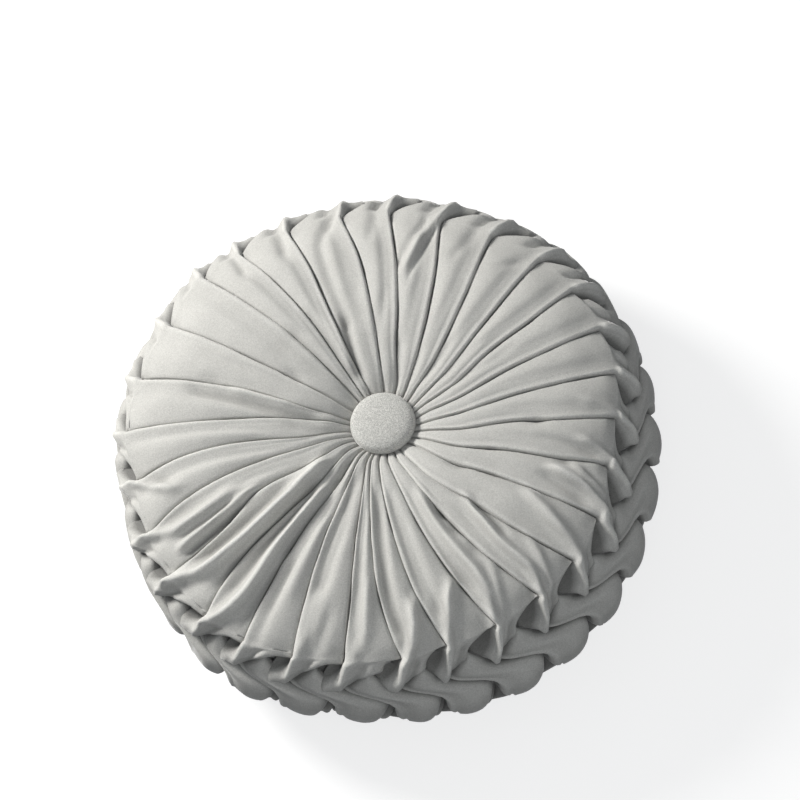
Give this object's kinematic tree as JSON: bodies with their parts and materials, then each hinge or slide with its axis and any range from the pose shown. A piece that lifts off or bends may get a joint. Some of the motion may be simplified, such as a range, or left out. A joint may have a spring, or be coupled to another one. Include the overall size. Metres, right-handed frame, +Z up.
{
  "type": "round pleated cushion",
  "caption": "Round velvet cushion with a radially pleated face, a smocked rim and a covered button at the centre of each side.",
  "frame": {"origin": "on the surface the cushion lies on, under the middle of its outline", "axes": "+Z up through the thickness, from the back face it lies on to the front face; the picture looks along +Y from above"},
  "size_m": [0.3732, 0.386, 0.11],
  "materials": {
    "velvet": "pale warm grey short-pile velvet",
    "button_velvet": "the same velvet, drawn tight over the button"
  },
  "bodies": {
    "root": {"cover": "velvet", "button_front": "button_velvet", "button_back": "button_velvet"}
  },
  "joints": []
}
